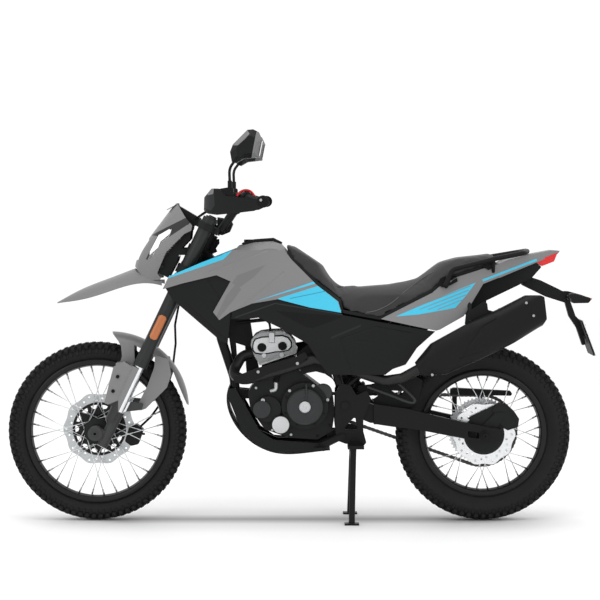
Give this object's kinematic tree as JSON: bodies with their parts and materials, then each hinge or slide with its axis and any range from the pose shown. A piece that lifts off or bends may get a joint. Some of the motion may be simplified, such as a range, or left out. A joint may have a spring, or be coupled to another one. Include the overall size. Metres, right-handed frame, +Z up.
{
  "type": "dual sport motorcycle",
  "caption": "Single-cylinder dual sport motorcycle with wire wheels, inverted fork, high beak, hand guards and side muffler, standing on its centre stand.",
  "frame": {"origin": "on the floor, under the middle of the bounding box", "axes": "+Z up, -X towards the front wheel, -Y towards the muffler side"},
  "size_m": [2.129, 0.85, 1.408],
  "materials": {
    "alloy": "satin alloy",
    "alloy_dark": "dark grey painted alloy",
    "chrome": "bright chrome",
    "lens_amber": "amber lens",
    "lens_clear": "clear moulded lens",
    "lens_red": "red lens",
    "panel_black": "grained black plastic",
    "panel_grey": "satin grey moulded plastic",
    "plate_white": "blank white plate",
    "rubber": "matt rubber",
    "seat_cover": "grained seat cover",
    "steel": "brushed steel",
    "steel_black": "satin black paint",
    "tyre": "tyre rubber"
  },
  "bodies": {
    "chassis": {"frame": "steel_black", "subframe": "steel_black", "engine": "alloy_dark", "cylinder": "alloy_dark", "cylinder_head": "alloy", "exhaust_header": "steel_black", "heat_shield": "panel_black", "muffler": "steel_black", "fuel_tank": "panel_grey", "fuel_cap": "alloy", "shroud_left": "panel_grey", "shroud_right": "panel_grey", "air_scoops": "panel_black", "side_covers": "panel_black", "seat": "seat_cover", "tail_cowl": "panel_grey", "tail_lamp": "lens_red", "rear_fender": "panel_black", "number_plate": "plate_white", "rear_indicators": "lens_amber", "grab_rail": "steel_black", "skid_plate": "panel_black", "footpegs": "steel", "foot_controls": "steel_black", "seat_base": "panel_black", "air_box": "panel_black", "swingarm": "alloy_dark", "pivot_bolt": "steel", "rear_shock": "steel", "chain": "steel", "chain_guard": "panel_black", "rear_caliper": "alloy_dark"},
    "steering": {"fork_clamps": "alloy_dark", "fork_tubes": "alloy_dark", "fork_lowers": "chrome", "handlebar": "steel_black", "hand_controls": "rubber", "hand_guards": "panel_black", "mirrors": "panel_black", "headlamp_mask": "panel_grey", "headlamp": "lens_clear", "front_beak": "panel_grey", "front_mudguard": "panel_grey", "front_caliper": "alloy_dark", "mask_bracket": "panel_black", "instrument_panel": "panel_black", "brake_hose": "rubber", "bar_cables": "rubber"},
    "front_wheel_body": {"front_wheel": "alloy_dark", "front_tyre": "tyre", "front_disc": "steel"},
    "rear_wheel_body": {"rear_wheel": "alloy_dark", "rear_tyre": "tyre", "rear_disc": "steel", "sprocket": "steel"},
    "stand": {"centre_stand": "steel_black"}
  },
  "joints": [
    {"name": "steering", "type": "hinge", "parent": "chassis", "child": "steering", "pos_m": [-0.66965, 0, 0.325], "axis": [0.4305, 0, 0.9026], "range_deg": [-38, 38]},
    {"name": "front_wheel_spin", "type": "hinge", "parent": "steering", "child": "front_wheel_body", "pos_m": [-0.74, 0, 0.325], "axis": [0, 1, 0], "continuous": true},
    {"name": "rear_wheel_spin", "type": "hinge", "parent": "chassis", "child": "rear_wheel_body", "pos_m": [0.661, 0, 0.318], "axis": [0, 1, 0], "continuous": true},
    {"name": "centre_stand_fold", "type": "hinge", "parent": "chassis", "child": "stand", "pos_m": [0.19, 0, 0.296], "axis": [0, -1, 0], "range_deg": [0, 74]}
  ]
}
